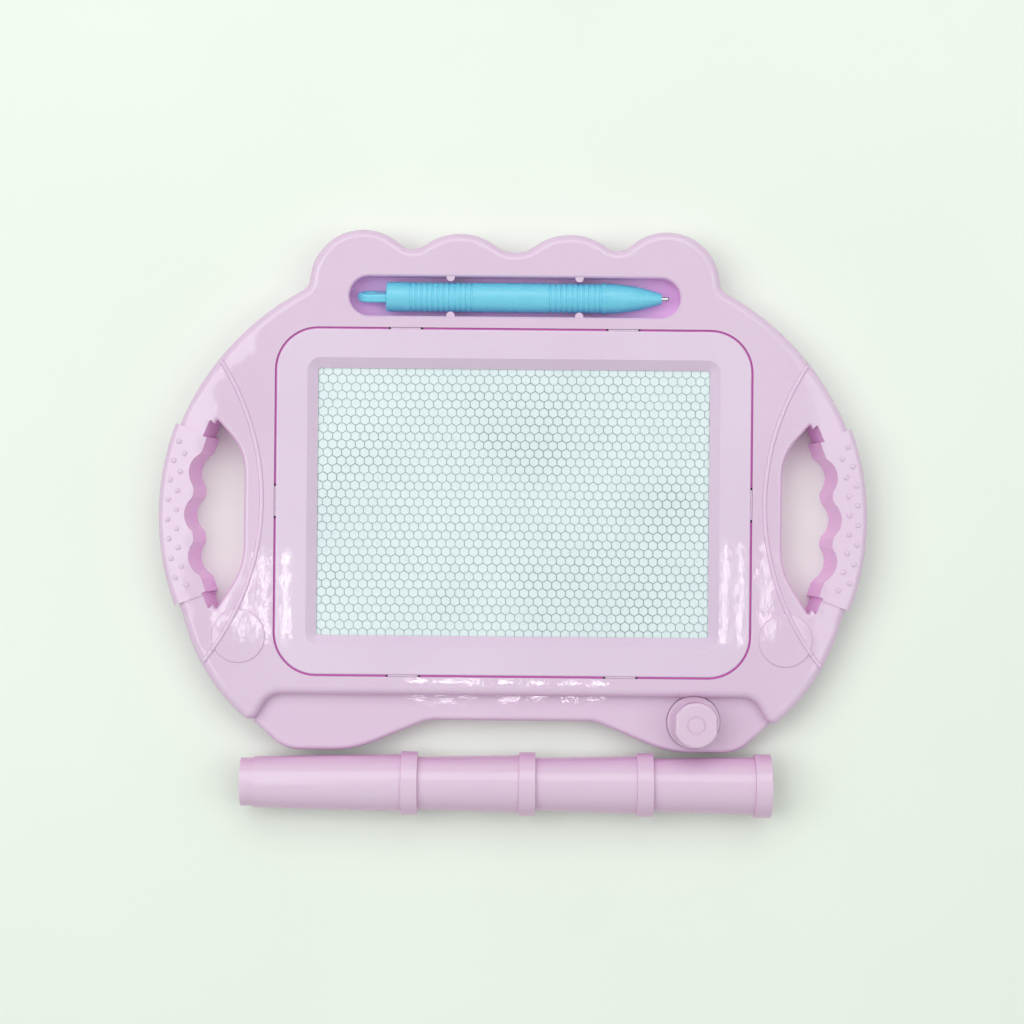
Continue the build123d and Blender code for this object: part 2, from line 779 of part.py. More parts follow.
def cover_screws():
    """Ten pan-head screws that hold the back cover."""
    cross = (box(0, 0, 0, screw_cross_length, screw_cross_width, screw_cross_depth)
             + box(0, 0, 0, screw_cross_width, screw_cross_length, screw_cross_depth))
    head = cylinder(0, 0, screw_head_radius, 0, screw_head_height)
    head = fillet(head.faces().sort_by(Axis.Z)[0].edges(), screw_head_round)
    screw = head - cross + cylinder(0, 0, screw_radius, screw_head_height, screw_head_height + screw_length)
    head_bottom = cover_recess - screw_head_height
    return Part() + [Pos(x, y, head_bottom) * screw for x, y in post_places()]


def eraser_bottom():
    """The height of the eraser bar's underside."""
    return seat_height - eraser_gap - eraser_thickness


def eraser_travel():
    """How far the eraser slides each way from the middle."""
    return ledge_half_x - eraser_width / 2 - eraser_travel_margin


def eraser_bar():
    """The bar behind the sheet, with a pocket for its magnetic strip and a stem through the cover's slot."""
    half_y = ledge_half_y - eraser_end_gap
    bar = box(0, 0, eraser_bottom(), eraser_width, 2 * half_y, eraser_thickness)
    bar = fillet(bar.edges().filter_by(Axis.Z), eraser_corner_radius)
    pocket_bottom = seat_height - eraser_gap - magnet_strip_thickness
    bar -= box(0, 0, pocket_bottom, magnet_strip_width + 2 * fit_gap,
               2 * (half_y - magnet_end_margin + fit_gap), magnet_strip_thickness + overrun)
    stem_bottom = knob_top() - knob_socket_depth
    return bar + box(0, 0, stem_bottom, stem_length, stem_width, eraser_bottom() - stem_bottom)


def eraser_magnet():
    """The flexible magnetic strip in the eraser bar."""
    half_y = ledge_half_y - eraser_end_gap - magnet_end_margin
    return box(0, 0, seat_height - eraser_gap - magnet_strip_thickness, magnet_strip_width, 2 * half_y,
               magnet_strip_thickness)


def knob_top():
    """The height of the eraser knob's upper face, just under the back cover."""
    return cover_recess - eraser_gap


def eraser_knob():
    """The thumb knob under the board, pushed on to the eraser's stem."""
    knob = box(0, 0, knob_top() - knob_height, knob_length, knob_width, knob_height)
    knob = fillet(knob.edges().filter_by(Axis.Z), knob_corner_radius)
    knob = fillet(knob.faces().sort_by(Axis.Z)[0].edges(), knob_round)
    return knob - box(0, 0, knob_top() - knob_socket_depth, stem_length + 2 * fit_gap, stem_width + 2 * fit_gap,
                      knob_socket_depth + overrun)


def lengthwise(solid):
    """Turn a solid of revolution from the Z axis to the pen's axis."""
    return Pos(0, trough_y, pen_height) * Rot(0, 90, 0) * solid


def pen_loop():
    """The loop behind the barrel, turned a little about the pen's axis."""
    half_height = loop_half_height
    ring = Pos(pen_rear_x - loop_length + half_height, 0) * Circle(half_height)
    stalk = Pos(pen_rear_x, 0) * Rectangle(2 * (loop_length - half_height), 2 * half_height)
    hole = Pos(pen_rear_x - loop_length + half_height, 0) * Circle(loop_hole_radius)
    plate = prism(ring + stalk - hole, -loop_thickness / 2, loop_thickness / 2)
    half_space = box(pen_rear_x - loop_length, 0, -loop_thickness, 2 * loop_length, 4 * half_height,
                     2 * loop_thickness)
    plate &= half_space
    rims = plate.edges().filter_by(GeomType.CIRCLE)
    plate = fillet(rims, loop_round)
    return Pos(0, trough_y, pen_height) * Rot(90 + loop_turn, 0, 0) * plate


def pen_barrel():
    """The hollow barrel with its grip grooves, its ring and its loop."""
    length = pen_front_x - pen_rear_x
    barrel = cylinder(0, 0, pen_radius, pen_rear_x, pen_front_x)
    barrel = fillet(barrel.faces().sort_by(Axis.Z)[0].edges(), pen_rear_round)
    barrel += cylinder(0, 0, pen_radius + pen_ring_rise, pen_front_x - pen_ring_width, pen_front_x)
    groove_ring_radius = pen_radius - pen_groove_depth + pen_groove_radius
    starts = [(rear_groove_x, rear_groove_count), (front_groove_x, front_groove_count)]
    for start, count in starts:
        for step in range(count):
            height = start + step * pen_groove_pitch
            barrel -= Pos(0, 0, height) * Torus(groove_ring_radius, pen_groove_radius)
    bore_length = length - pen_end_wall
    barrel -= cylinder(0, 0, pen_radius - pen_wall, pen_front_x - bore_length, pen_front_x + overrun)
    return lengthwise(barrel) + pen_loop()


def pen_nose():
    """The pointed front of the pen, with its plug, the magnet's bore and the tip's hole."""
    nose_end = pen_front_x + nose_length
    drop = pen_radius - nose_end_radius
    curve_radius = (nose_length ** 2 + drop ** 2) / (2 * drop)
    half_angle = asin(nose_length / curve_radius) / 2
    middle = (pen_radius - curve_radius * (1 - cos(half_angle)), pen_front_x + curve_radius * sin(half_angle))
    profile = make_face([Line((0, pen_front_x), (pen_radius, pen_front_x)),
                         ThreePointArc((pen_radius, pen_front_x), middle, (nose_end_radius, nose_end)),
                         Line((nose_end_radius, nose_end), (0, nose_end)),
                         Line((0, nose_end), (0, pen_front_x))])
    nose = revolve(Plane.XZ * profile, Axis.Z)
    plug_radius = pen_radius - pen_wall - fit_gap
    plug_bottom = pen_front_x - nose_plug_length
    nose += cylinder(0, 0, plug_radius, plug_bottom, pen_front_x)
    tip_bottom = nose_end + tip_reach - tip_length
    nose -= cylinder(0, 0, pen_magnet_radius + fit_gap, plug_bottom - overrun, tip_bottom)
    nose -= cylinder(0, 0, tip_radius + fit_gap, tip_bottom - overrun, nose_end + overrun)
    return lengthwise(nose)


def pen_tip():
    """The steel point."""
    top = pen_front_x + nose_length + tip_reach
    tip = cylinder(0, 0, tip_radius, top - tip_length, top)
    return lengthwise(fillet(tip.faces().sort_by(Axis.Z)[-1].edges(), tip_round))


def pen_magnet():
    """The rod magnet behind the steel point."""
    top = pen_front_x + nose_length + tip_reach - tip_length
    return lengthwise(cylinder(0, 0, pen_magnet_radius, top - pen_magnet_length, top))


def stamp_foot():
    """The stamp's round flange, with a pocket for the magnet and a hole for the grip's peg."""
    foot = cylinder(stamp_x, stamp_y, stamp_foot_radius, stamp_bottom, stamp_foot_top)
    foot = fillet(top_face(foot).edges(), stamp_foot_round)
    foot -= cylinder(stamp_x, stamp_y, stamp_magnet_radius + fit_gap, stamp_bottom - overrun, stamp_plate_bottom)
    return foot - cylinder(stamp_x, stamp_y, stamp_peg_radius + fit_gap, stamp_bottom, stamp_foot_top + overrun)


def stamp_grip():
    """The stamp's knob with two flats and a ring on its top, its neck, and the peg below."""
    knob_bottom = stamp_foot_top + stamp_neck_height
    knob_roof = knob_bottom + stamp_knob_height
    knob = Circle(stamp_knob_radius) & Rectangle(2 * stamp_knob_flat, 2 * stamp_knob_radius)
    grip = rounded_prism(knob, knob_bottom, knob_roof, stamp_knob_round)
    grip = fillet(grip.faces().sort_by(Axis.Z)[0].edges(), stamp_knob_low_round)
    outer = cylinder(0, 0, stamp_dimple_radius, knob_roof - stamp_dimple_depth, knob_roof + overrun)
    inner = cylinder(0, 0, stamp_dimple_radius - stamp_dimple_width, stamp_foot_top, knob_roof + overrun)
    grip -= outer - inner
    grip += cylinder(0, 0, stamp_neck_radius, stamp_foot_top, knob_bottom)
    grip += cylinder(0, 0, stamp_peg_radius, stamp_plate_bottom, stamp_foot_top)
    return Pos(stamp_x, stamp_y, 0) * grip


def stamp_magnet():
    """The disc magnet in the stamp's foot."""
    return cylinder(stamp_x, stamp_y, stamp_magnet_radius, stamp_plate_bottom - stamp_magnet_thickness,
                    stamp_plate_bottom)


def leg(index):
    """One tapered hollow leg, its narrow end to the left, nested in the mouth of the next."""
    taper = (leg_wide_radius - leg_narrow_radius) / (leg_length - leg_spigot_length - leg_collar_width)
    nested = leg_length - leg_pitch
    mouth_radius = leg_narrow_radius + taper * (nested - leg_spigot_length) + leg_nest_gap
    bore_end = leg_bore_end_length
    bore_turn_radius = mouth_radius - taper * (leg_length - bore_end)
    collar_start = leg_length - leg_collar_width
    outline = [(leg_bore_end_radius, 0), (leg_spigot_radius, 0), (leg_spigot_radius, leg_spigot_length),
               (leg_narrow_radius, leg_spigot_length), (leg_wide_radius, collar_start),
               (leg_collar_radius, collar_start), (leg_collar_radius, leg_length),
               (mouth_radius, leg_length), (bore_turn_radius, bore_end), (leg_bore_end_radius, bore_end)]
    body = revolve(Plane.XZ * make_face(Polyline(*outline, close=True)), Axis.Z)
    body = fillet([edge for edge in body.edges().filter_by(GeomType.CIRCLE)
                   if abs(edge.radius - leg_collar_radius) < leg_edge_round], leg_edge_round)
    left = leg_stack_left_x + index * leg_pitch
    return Pos(left, leg_y, leg_collar_radius) * Rot(0, 90, 0) * body


def all_parts():
    """Every piece under its own name, drawn about the sheet's centre."""
    pieces = {
        "front_frame": front_frame(),
        "bezel": bezel(),
        "back_film": sheet_layer(seat_height, film_thickness),
        "honeycomb_core": sheet_layer(seat_height + film_thickness, core_thickness),
        "front_film": sheet_layer(sheet_top - film_thickness, film_thickness),
        "back_cover": back_cover(),
        "cover_screws": cover_screws(),
        "eraser_bar": eraser_bar(),
        "eraser_magnet": eraser_magnet(),
        "eraser_knob": eraser_knob(),
        "pen_barrel": pen_barrel(),
        "pen_nose": pen_nose(),
        "pen_tip": pen_tip(),
        "pen_magnet": pen_magnet(),
        "stamp_foot": stamp_foot(),
        "stamp_grip": stamp_grip(),
        "stamp_magnet": stamp_magnet(),
    }
    for index in range(leg_count):
        pieces[f"leg_{index + 1}"] = leg(index)
    return pieces


# The floor point under the middle of the set, seen from the sheet's centre
set_top_y = big_lobe_y + big_lobe_radius
set_bottom_y = leg_y - leg_collar_radius
set_middle_y = (set_top_y + set_bottom_y) / 2

os.makedirs("parts", exist_ok=True)
for name, piece in all_parts().items():
    export_step(Pos(0, -set_middle_y, 0) * piece, f"parts/{name}.step")
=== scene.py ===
import json
from math import cos, dist, floor, pi, radians, sin

import bmesh
import bpy
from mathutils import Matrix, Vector


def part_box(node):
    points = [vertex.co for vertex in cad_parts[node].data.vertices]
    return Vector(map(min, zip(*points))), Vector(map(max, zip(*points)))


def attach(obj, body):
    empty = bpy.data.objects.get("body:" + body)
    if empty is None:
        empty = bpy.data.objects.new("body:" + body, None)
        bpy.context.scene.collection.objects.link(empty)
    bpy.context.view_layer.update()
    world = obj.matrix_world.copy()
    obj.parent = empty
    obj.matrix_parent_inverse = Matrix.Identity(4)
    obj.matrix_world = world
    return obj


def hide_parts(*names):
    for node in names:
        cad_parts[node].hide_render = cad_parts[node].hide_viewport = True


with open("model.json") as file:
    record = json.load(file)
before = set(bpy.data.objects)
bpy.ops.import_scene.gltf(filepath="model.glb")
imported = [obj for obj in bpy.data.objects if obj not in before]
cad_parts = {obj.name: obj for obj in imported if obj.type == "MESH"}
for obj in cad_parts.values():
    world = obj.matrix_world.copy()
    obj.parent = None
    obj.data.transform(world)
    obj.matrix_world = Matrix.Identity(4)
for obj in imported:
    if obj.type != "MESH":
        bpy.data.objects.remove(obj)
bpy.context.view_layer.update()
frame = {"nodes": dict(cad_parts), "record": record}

mm = 0.001


# Colours

def srgb(red, green, blue):
    """A colour written as it looks on a screen, turned into the light values that a shader takes."""
    values = []
    for level in (red, green, blue):
        share = level / 255
        values.append(share / 12.92 if share <= 0.04045 else ((share + 0.055) / 1.055) ** 2.4)
    return (*values, 1.0)


lilac = srgb(222, 199, 222)
lilac_deep = srgb(218, 193, 217)
# Painted glow: a deeper pink for upright faces, standing in for light that soaks through the plastic seen
# edge on
lilac_wall_painted_glow = srgb(220, 184, 218)
# Painted light: a lighter pink for the walls of the hand holes and the trough, standing in for light passed
# on through them
lilac_lit_wall = srgb(240, 186, 234)
# Painted glow: a lighter, richer pink for the trough's floor, standing in for light soaking through and
# bouncing in the trough
lilac_depths_painted_glow = srgb(242, 196, 245)
bezel_lilac = srgb(225, 206, 227)
bezel_lilac_deep = srgb(221, 200, 223)
stamp_lilac = srgb(223, 199, 221)
stamp_lilac_deep = srgb(219, 193, 216)
leg_lilac = srgb(223, 199, 221)
leg_lilac_deep = srgb(218, 192, 215)
# Painted glow: a deeper pink for the sides of the legs, standing in for light that soaks through the plastic
# seen edge on
leg_wall_painted_glow = srgb(224, 174, 215)
# Painted shade and glow: the dark magenta of the seam round the bezel, standing in for the shadow in the gap
# and light soaking through the plastic there
seam_painted_shade_magenta = srgb(198, 84, 178)
sky_blue = srgb(118, 208, 232)
sky_blue_deep = srgb(110, 202, 228)
# Painted glow: a deeper blue for upright faces of the blue plastic, standing in for light that soaks through
# it seen edge on
sky_blue_wall_painted_glow = srgb(98, 198, 228)
cell_wall_grey = srgb(168, 189, 194)
cell_wall_dark = srgb(126, 148, 156)
cell_white = srgb(228, 240, 241)
cell_shade = srgb(220, 234, 236)
powder_grey = srgb(172, 187, 193)
film_tint = srgb(236, 245, 246)
steel_bright = srgb(200, 200, 204)
steel_dull = srgb(168, 168, 174)
magnet_black = srgb(58, 54, 54)
magnet_deep_black = srgb(40, 37, 38)
floor_mint = srgb(236, 244, 234)
floor_mint_deep = srgb(233, 241, 231)
backdrop_mint = srgb(236, 243, 234)
room_light = (0.95, 0.98, 0.95, 1)


# Nodes, for materials and for geometry

def feed(tree, socket, value):
    """Give a socket a plain value, or another node's output."""
    if isinstance(value, bpy.types.NodeSocket):
        tree.links.new(value, socket)
    else:
        socket.default_value = value


def add_node(tree, kind, inputs, **settings):
    """A node with its settings, and a value or another node's output for each of the inputs named."""
    node = tree.nodes.new(kind)
    for setting, value in settings.items():
        setattr(node, setting, value)
    for key, value in inputs.items():
        feed(tree, node.inputs[key], value)
    return node


def maths(tree, operation, *values):
    """The result of a sum on numbers or outputs."""
    return add_node(tree, "ShaderNodeMath", dict(enumerate(values)), operation=operation).outputs[0]


def vector_maths(tree, operation, inputs, result="Vector"):
    """The result of a sum on vectors, with its inputs by place or by name."""
    return add_node(tree, "ShaderNodeVectorMath", inputs, operation=operation).outputs[result]


def vector_of(tree, x=0.0, y=0.0, z=0.0):
    """A vector put together from numbers or outputs."""
    return add_node(tree, "ShaderNodeCombineXYZ", {"X": x, "Y": y, "Z": z}).outputs[0]


# Shading tools

def new_material(name):
    """A material with an empty Principled shader, as the material, its node tree and the shader's inputs."""
    material = bpy.data.materials.new(name)
    material.use_nodes = True
    return material, material.node_tree, material.node_tree.nodes["Principled BSDF"].inputs


def surface_place(tree, kind="Object"):
    """The surface's place on the object, or its normal."""
    return tree.nodes.new("ShaderNodeTexCoord").outputs[kind]


def surface_axis(tree, axis, kind="Object"):
    """One axis of the surface's place on the object, or of its normal."""
    return add_node(tree, "ShaderNodeSeparateXYZ", {0: surface_place(tree, kind)}).outputs[axis]


def object_noise(tree, scale, detail, stretch=(1, 1, 1)):
    """Noise on the object's own coordinates, in waves per metre, stretched along an axis when asked."""
    place = add_node(tree, "ShaderNodeMapping", {"Vector": surface_place(tree), "Scale": stretch})
    waves = {"Vector": place.outputs["Vector"], "Scale": scale, "Detail": detail}
    return add_node(tree, "ShaderNodeTexNoise", waves).outputs["Fac"]


def spread(tree, source, low, high, start=0.3, end=0.7):
    """A value that goes from one level to another while its source goes from a start to an end."""
    levels = {"Value": source, "From Min": start, "From Max": end, "To Min": low, "To Max": high}
    return add_node(tree, "ShaderNodeMapRange", levels).outputs["Result"]


def blend_colours(tree, factor, first, second):
    """A mix of two colours, or of a colour and another node's output."""
    inputs = {"Factor": factor, "A": first, "B": second}
    return add_node(tree, "ShaderNodeMix", inputs, data_type="RGBA").outputs["Result"]


def bump(tree, height, strength, distance, below=None):
    """A bump from a height, on top of an earlier bump when there is one."""
    inputs = {"Strength": strength, "Distance": distance, "Height": height}
    if below is not None:
        inputs["Normal"] = below
    return add_node(tree, "ShaderNodeBump", inputs).outputs["Normal"]


def wall_share(tree):
    """How upright the surface stands: 0 where it lies flat and 1 on a wall."""
    upright, flat = 0.1, 0.93
    return spread(tree, maths(tree, "ABSOLUTE", surface_axis(tree, "Z", "Normal")), 1, 0, upright, flat)


def depth_share(tree, shallow, deepest):
    """How far down in a hollow the surface lies, from 0 at one height to 1 at a lower one."""
    return spread(tree, surface_axis(tree, "Z"), 1, 0, deepest, shallow)


def hollow_share(tree, hollows):
    """1 inside any of some ovals, which are the same on the left and the right, and 0 outside them."""
    inner_edge, outer_edge = 0.97, 1.1
    across = maths(tree, "ABSOLUTE", surface_axis(tree, "X"))
    along = surface_axis(tree, "Y")
    total = 0
    for middle_x, middle_y, half_x, half_y in hollows:
        off_x = maths(tree, "DIVIDE", maths(tree, "SUBTRACT", across, middle_x), half_x)
        off_y = maths(tree, "DIVIDE", maths(tree, "SUBTRACT", along, middle_y), half_y)
        reach = vector_maths(tree, "LENGTH", {0: vector_of(tree, off_x, off_y)}, "Value")
        total = maths(tree, "MAXIMUM", total, spread(tree, reach, 1, 0, inner_edge, outer_edge))
    return total


# Materials

# The roughness of each finish, from its shiniest places to its dullest
polished = (0.015, 0.04)
semi_gloss = (0.1, 0.18)
silky = (0.2, 0.32)
worn = (0.26, 0.4)
dull = (0.3, 0.45)
textured = (0.34, 0.5)

# The reach of red, green and blue light inside each plastic, as shares of its full reach
pink_glow = (1.0, 0.24, 0.8)
blue_glow = (0.3, 0.8, 1.0)

# The stretch of a pattern that follows a tube from left to right
along_tube = (0.3, 1, 1)

# The heights between which the trough's floor takes on its deeper colour, a painted glow
trough_shallow, trough_deepest = 14.5 * mm, 9.5 * mm

# Ovals round the hollows, inside which the walls are painted lighter as painted light: the middle's x and y,
# then half the size along x and along y
hand_hole = (132 * mm, 3 * mm, 18 * mm, 48 * mm)
pen_trough = (0, 102.2 * mm, 88 * mm, 14 * mm)


def moulded_plastic(name, colour, deep, wall, roughness, flow=(1, 1, 1), grain=0.12, ripple=0.06,
                    glow=pink_glow, depths=None, lit_wall=None, hollows=()):
    """Injection-moulded plastic: slow drifts of tone along the flow, soft ripples, fine grain and marks.

    Its walls, which are seen edge on, are painted a deeper colour than its flat faces,
    a painted glow for light that soaks into it. In a hollow the walls are painted lighter, as painted light
    passed on through them, and the floor is painted the colour of the depths, a painted glow.
    """
    material, tree, shader = new_material(name)
    drift = spread(tree, object_noise(tree, scale=14, detail=3, stretch=flow), 0, 1)
    flat_tone = blend_colours(tree, drift, colour, deep)
    # Painted glow and light: the trough's floor and the walls take colours that stand in for light soaking
    # through the plastic
    if depths is not None:
        flat_tone = blend_colours(tree, depth_share(tree, trough_shallow, trough_deepest), flat_tone, depths)
    if hollows:
        wall = blend_colours(tree, hollow_share(tree, hollows), wall, lit_wall)
    feed(tree, shader["Base Color"], blend_colours(tree, wall_share(tree), flat_tone, wall))
    handling_marks = object_noise(tree, scale=130, detail=6, stretch=(1, 2.5, 1))
    feed(tree, shader["Roughness"], spread(tree, handling_marks, *roughness))
    soft_waves = object_noise(tree, scale=32, detail=1, stretch=flow)
    close_waves = object_noise(tree, scale=115, detail=4, stretch=flow)
    fine_grain = object_noise(tree, scale=1500, detail=2)
    rolling = bump(tree, soft_waves, strength=ripple, distance=0.25 * mm)
    rippled = bump(tree, close_waves, strength=ripple, distance=0.7 * mm, below=rolling)
    grained = bump(tree, fine_grain, strength=grain, distance=0.01 * mm, below=rippled)
    feed(tree, shader["Normal"], grained)
    shader["IOR"].default_value = 1.5
    shader["Subsurface Weight"].default_value = 0.12
    shader["Subsurface Radius"].default_value = glow
    shader["Subsurface Scale"].default_value = 1.5 * mm
    return material


def clear_film(name):
    """A thin clear film with faint rubbing marks."""
    material, tree, shader = new_material(name)
    rubbing = object_noise(tree, scale=220, detail=7, stretch=(1, 6, 1))
    feed(tree, shader["Roughness"], spread(tree, rubbing, low=0.10, high=0.26))
    slow_waves = object_noise(tree, scale=26, detail=1)
    feed(tree, shader["Normal"], bump(tree, slow_waves, strength=0.2, distance=0.3 * mm))
    shader["Base Color"].default_value = film_tint
    shader["Alpha"].default_value = 0.06
    shader["IOR"].default_value = 1.49
    return material


def cell_wall_plastic(name):
    """The thin grey walls of the cells, darker where powder clings to them."""
    material, tree, shader = new_material(name)
    patches = spread(tree, object_noise(tree, scale=24, detail=4), 0, 1, start=0.5, end=0.75)
    feed(tree, shader["Base Color"], blend_colours(tree, patches, cell_wall_grey, cell_wall_dark))
    shader["Roughness"].default_value = 0.45
    return material


def cell_filling(name):
    """The thick white liquid in the cells, with a breath of grey powder in places."""
    material, tree, shader = new_material(name)
    cloud = spread(tree, object_noise(tree, scale=30, detail=3), 0, 1)
    white = blend_colours(tree, cloud, cell_white, cell_shade)
    specks = spread(tree, object_noise(tree, scale=700, detail=5), 0, 0.35, start=0.6, end=0.78)
    feed(tree, shader["Base Color"], blend_colours(tree, specks, white, powder_grey))
    shader["Roughness"].default_value = 0.35
    return material


def milky_film(name):
    """The white film behind the cells."""
    material, tree, shader = new_material(name)
    cloud = spread(tree, object_noise(tree, scale=40, detail=4), 0, 1)
    feed(tree, shader["Base Color"], blend_colours(tree, cloud, cell_white, cell_shade))
    rubbing = object_noise(tree, scale=240, detail=5, stretch=(1, 5, 1))
    feed(tree, shader["Roughness"], spread(tree, rubbing, low=0.3, high=0.5))
    return material


def turned_steel(name):
    """Turned steel with fine rings and a few duller spots."""
    material, tree, shader = new_material(name)
    tone = spread(tree, object_noise(tree, scale=300, detail=4), 0, 1)
    feed(tree, shader["Base Color"], blend_colours(tree, tone, steel_bright, steel_dull))
    rings = object_noise(tree, scale=900, detail=3, stretch=(6, 1, 1))
    feed(tree, shader["Roughness"], spread(tree, rings, low=0.16, high=0.36))
    feed(tree, shader["Normal"], bump(tree, rings, strength=0.2, distance=0.02 * mm))
    shader["Metallic"].default_value = 1.0
    return material


def magnet_rubber(name):
    """Dark flexible magnet, dull and slightly grainy."""
    material, tree, shader = new_material(name)
    tone = spread(tree, object_noise(tree, scale=500, detail=5), 0, 1)
    feed(tree, shader["Base Color"], blend_colours(tree, tone, magnet_black, magnet_deep_black))
    grain = object_noise(tree, scale=2200, detail=2)
    feed(tree, shader["Normal"], bump(tree, grain, strength=0.3, distance=0.05 * mm))
    shader["Roughness"].default_value = 0.72
    return material


finishes = {
    "lilac_shell": moulded_plastic("lilac_shell_plastic", lilac, lilac_deep, lilac_wall_painted_glow, polished,
                                   grain=0.03, ripple=0.04, depths=lilac_depths_painted_glow, lit_wall=lilac_lit_wall,
                                   hollows=(hand_hole, pen_trough)),
    "bezel_plastic": moulded_plastic("bezel_plastic", bezel_lilac, bezel_lilac_deep, lilac_wall_painted_glow, polished,
                                     grain=0.03, ripple=0.03),
    "back_plastic": moulded_plastic("back_plastic", lilac_deep, leg_lilac_deep, lilac_wall_painted_glow, textured,
                                    grain=0.3),
    "pen_plastic": moulded_plastic("pen_plastic", sky_blue, sky_blue_deep, sky_blue_wall_painted_glow, silky,
                                   flow=along_tube, ripple=0.04, glow=blue_glow),
    "stamp_plastic": moulded_plastic("stamp_plastic", stamp_lilac, stamp_lilac_deep, lilac_wall_painted_glow, semi_gloss),
    "leg_plastic": moulded_plastic("leg_plastic", leg_lilac, leg_lilac_deep, leg_wall_painted_glow, semi_gloss,
                                   flow=along_tube),
    "eraser_plastic": moulded_plastic("eraser_plastic", sky_blue, sky_blue_deep, sky_blue_wall_painted_glow, worn,
                                      glow=blue_glow),
    "clear_film": clear_film("clear_writing_film"),
    "white_film": milky_film("milky_back_film"),
    "cell_core": cell_wall_plastic("cell_wall_plastic"),
    "magnet_strip": magnet_rubber("magnet_rubber"),
    "steel": turned_steel("bright_steel"),
}
filling = cell_filling("cell_filling")
# The seam lip is painted dark magenta all over: painted shade and glow for the gap round the bezel
seam_painted_shade = moulded_plastic("seam_painted_shade", seam_painted_shade_magenta, seam_painted_shade_magenta, seam_painted_shade_magenta, dull)


# Pieces

record = frame["record"]
node_finish = {part["node"]: part["material_slot"] for part in record["subparts"]}
node_body = {node: body for body, members in record["behaviour"]["bodies"].items() for node in members}


def in_scene(name, data):
    """An object with the given data, put in the scene."""
    made = bpy.data.objects.new(name, data)
    bpy.context.scene.collection.objects.link(made)
    return made


def mesh_of(form, name, material):
    """Turn a drawn form into a mesh of one material."""
    mesh = bpy.data.meshes.new(name)
    form.to_mesh(mesh)
    form.free()
    mesh.materials.append(material)
    return mesh


def evaluated_mesh(holder, name):
    """The mesh that an object's modifiers give, as a plain mesh. The object goes."""
    bpy.context.view_layer.update()
    mesh = bpy.data.meshes.new_from_object(holder.evaluated_get(bpy.context.evaluated_depsgraph_get()))
    mesh.name = name
    bpy.data.objects.remove(holder)
    return mesh


def as_piece(name, mesh, body, *nodes):
    """Make a mesh a piece that rides on a body and stands for the CAD nodes named, if any."""
    piece = in_scene(name, mesh)
    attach(piece, body)
    if nodes:
        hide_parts(*nodes)
    return piece


def finish_node(node):
    """Give a CAD node the finish of its own slot."""
    mesh = frame["nodes"][node].data
    mesh.materials.clear()
    mesh.materials.append(finishes[node_finish[node]])


def evened(mesh):
    """The same mesh with its shading weighted by area, so that flat faces stay flat beside rounded edges."""
    holder = in_scene(mesh.name, mesh)
    weighting = holder.modifiers.new("even_shading", "WEIGHTED_NORMAL")
    weighting.mode = "FACE_AREA"
    weighting.weight = 90
    weighting.keep_sharp = True
    return evaluated_mesh(holder, mesh.name)


def smooth_piece(node, name, crease=32):
    """A copy of a CAD node whose triangles are joined, so that curved moulded faces shade smoothly."""
    mesh = frame["nodes"][node].data.copy()
    mesh.name = name
    mesh.materials.clear()
    mesh.materials.append(finishes[node_finish[node]])
    form = bmesh.new()
    form.from_mesh(mesh)
    bmesh.ops.remove_doubles(form, verts=form.verts, dist=0.002 * mm)
    for edge in form.edges:
        edge.smooth = len(edge.link_faces) == 2 and edge.calc_face_angle(0) < radians(crease)
    for face in form.faces:
        face.smooth = True
    form.to_mesh(mesh)
    form.free()
    old_normals = mesh.attributes.get("custom_normal")
    if old_normals is not None:
        mesh.attributes.remove(old_normals)
    as_piece(name, evened(mesh), node_body[node], node)


# Geometry Nodes

def new_tree(name, inputs):
    """A node tree with named inputs, as the tree, what its inputs give and its last node."""
    tree = bpy.data.node_groups.new(name, "GeometryNodeTree")
    for label, (kind, value) in inputs.items():
        socket = tree.interface.new_socket(name=label, in_out="INPUT", socket_type=kind)
        if value is not None:
            socket.default_value = value
    tree.interface.new_socket(name="Geometry", in_out="OUTPUT", socket_type="NodeSocketGeometry")
    return tree, tree.nodes.new("NodeGroupInput").outputs, tree.nodes.new("NodeGroupOutput")


def shape_node(tree, kind, inputs, **settings):
    """The shape that a node gives."""
    return add_node(tree, kind, inputs, **settings).outputs[0]


def realized_and_painted(tree, shape, material, result):
    """End a tree: instances made real, and the material set."""
    real = shape_node(tree, "GeometryNodeRealizeInstances", {"Geometry": shape})
    painted = shape_node(tree, "GeometryNodeSetMaterial", {"Geometry": real, "Material": material})
    feed(tree, result.inputs["Geometry"], painted)


def grown_mesh(tree, name, values):
    """Run a tree with the given inputs, and return its result as a plain mesh."""
    seed = in_scene(name + "_seed", bpy.data.meshes.new(name + "_seed"))
    modifier = seed.modifiers.new("grow", "NODES")
    modifier.node_group = tree
    for item in tree.interface.items_tree:
        if item.item_type == "SOCKET" and item.in_out == "INPUT" and item.name in values:
            modifier[item.identifier] = values[item.name]
    return evaluated_mesh(seed, name)


# Honeycomb

cell_pitch, cell_row_pitch = 4.15 * mm, 3.7 * mm
cell_wall_width, cell_sway = 0.4 * mm, 0.5 * mm


